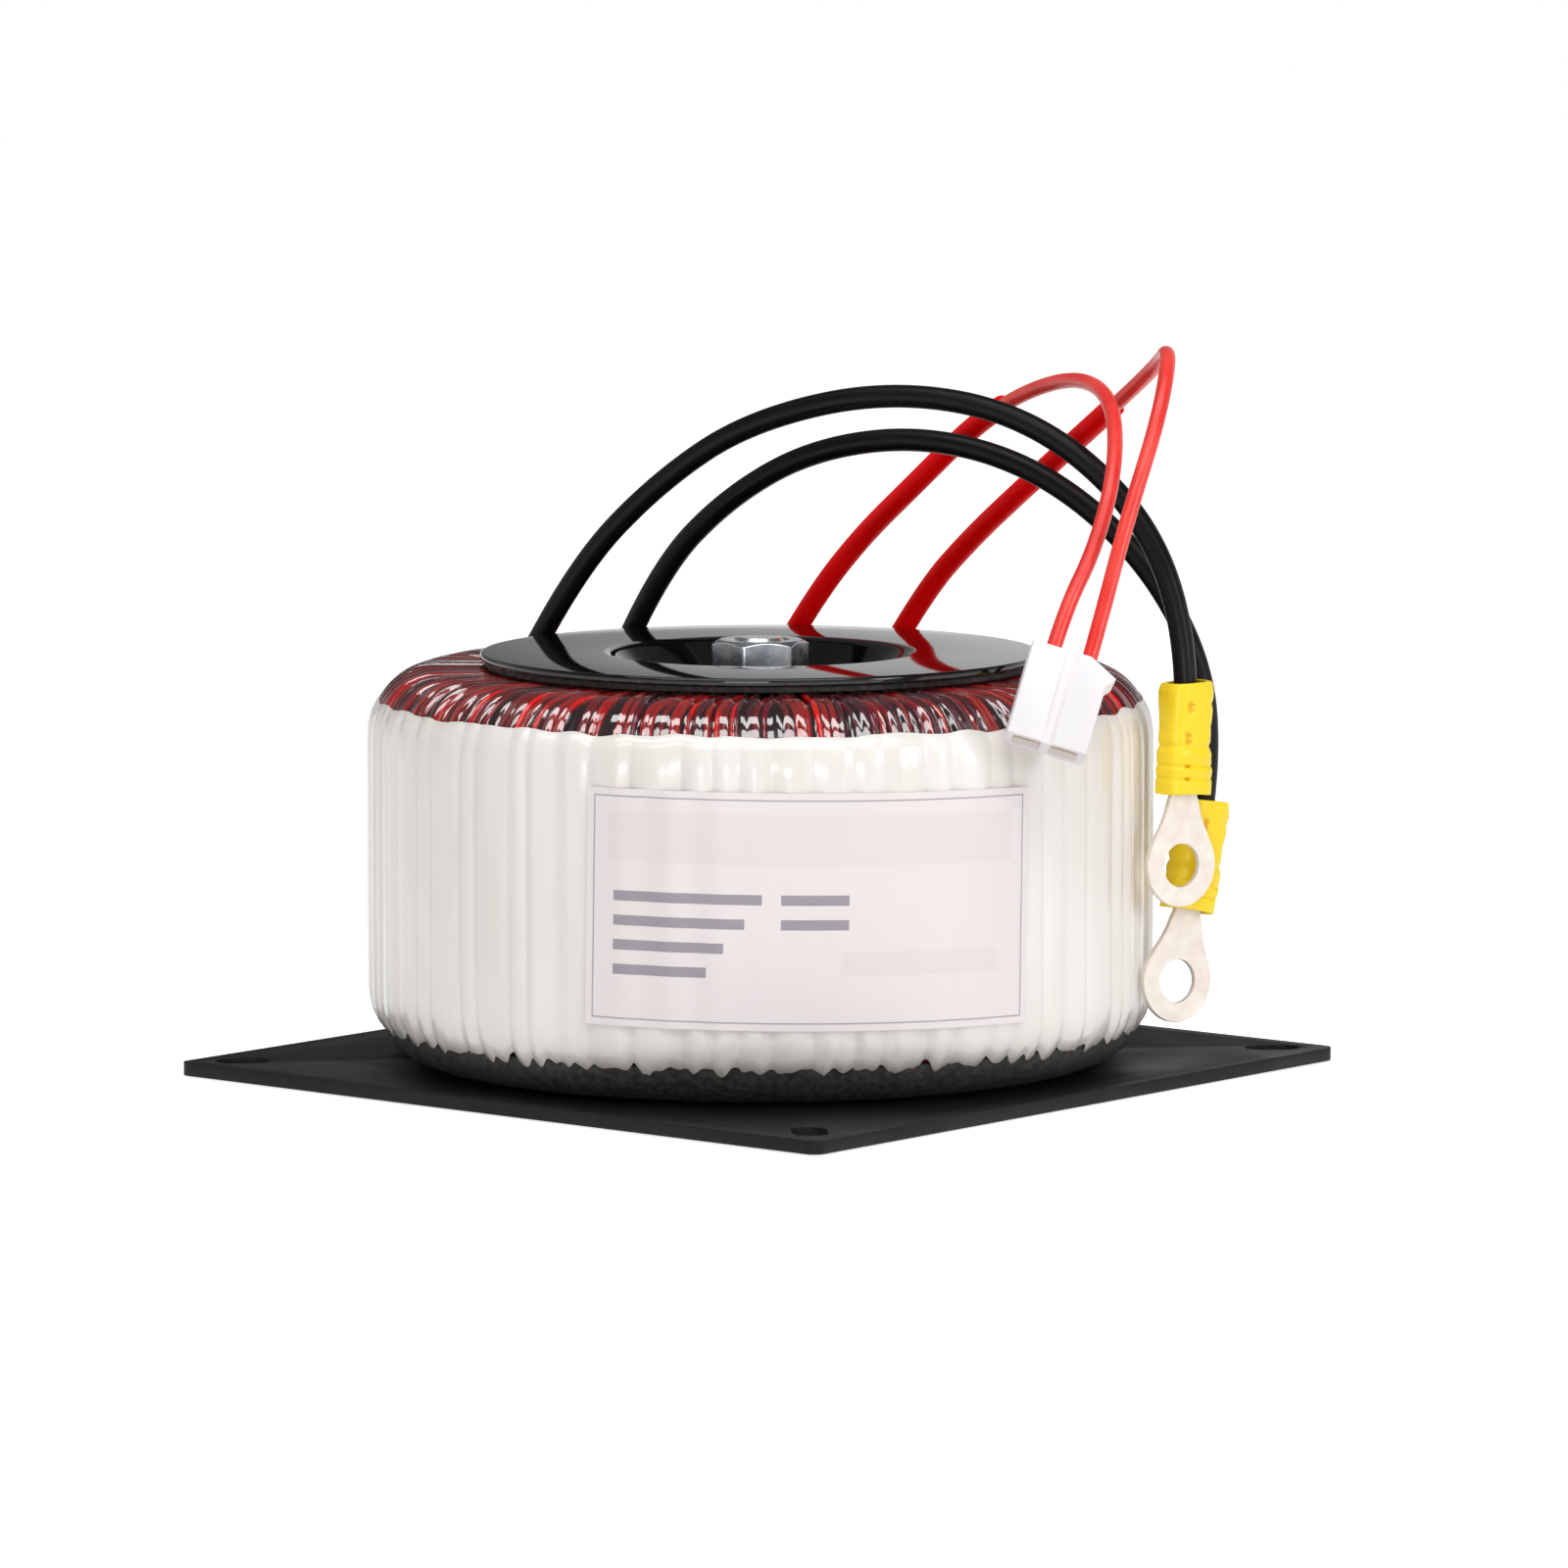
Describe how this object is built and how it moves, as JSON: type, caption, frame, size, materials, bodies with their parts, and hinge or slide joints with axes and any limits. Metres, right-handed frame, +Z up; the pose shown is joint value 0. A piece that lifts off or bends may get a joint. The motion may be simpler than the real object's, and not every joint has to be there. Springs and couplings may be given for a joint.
{
  "type": "toroidal transformer",
  "caption": "Toroidal mains transformer clamped on a square slotted plate by a dished washer, with ring-terminal leads and a plug-ended lead pair.",
  "frame": {"origin": "middle of the base plate's underside", "axes": "+Z up along the coil's axis; X and Y along the base plate's diagonals, so its corner slots lie on the axes; -Y is the side with the label"},
  "size_m": [0.1752, 0.1752, 0.111],
  "materials": {
    "plate_paint": "satin black-brown",
    "dish_paint": "gloss black",
    "zinc_steel": "zinc plated",
    "black_rubber": "matte",
    "core_steel": "wound strip",
    "inner_film": "dark tinted film, satin",
    "primary_copper": "enamelled copper",
    "secondary_copper": "red enamelled copper",
    "clear_film": "clear gloss film",
    "white_band": "milky film in pleats",
    "label_paper": "smooth white",
    "black_lead": "satin black",
    "red_lead": "satin red",
    "red_sleeving": "matte red",
    "tinned_copper": "tinned, soft",
    "yellow_sleeving": "satin yellow",
    "white_housing": "satin white",
    "contact_metal": "stamped"
  },
  "bodies": {
    "root": {"base_plate": "plate_paint", "centre_stud": "zinc_steel", "lower_pad": "black_rubber", "toroidal_core": "core_steel", "core_insulation": "inner_film", "primary_winding": "primary_copper", "winding_insulation": "inner_film", "secondary_winding": "secondary_copper", "film_wrap": "clear_film", "side_band": "white_band", "label": "label_paper", "upper_pad": "black_rubber", "dished_washer": "dish_paint", "plain_washer": "zinc_steel", "spring_washer": "zinc_steel", "hex_nut": "zinc_steel", "black_lead_upper": "black_lead", "black_lead_lower": "black_lead", "red_lead_left": "red_lead", "red_lead_right": "red_lead", "red_sleeve_left": "red_sleeving", "red_sleeve_right": "red_sleeving", "terminal_upper": "tinned_copper", "terminal_lower": "tinned_copper", "terminal_sleeve_upper": "yellow_sleeving", "terminal_sleeve_lower": "yellow_sleeving", "connector_housing": "white_housing", "connector_contact_left": "contact_metal", "connector_contact_right": "contact_metal"}
  },
  "joints": []
}
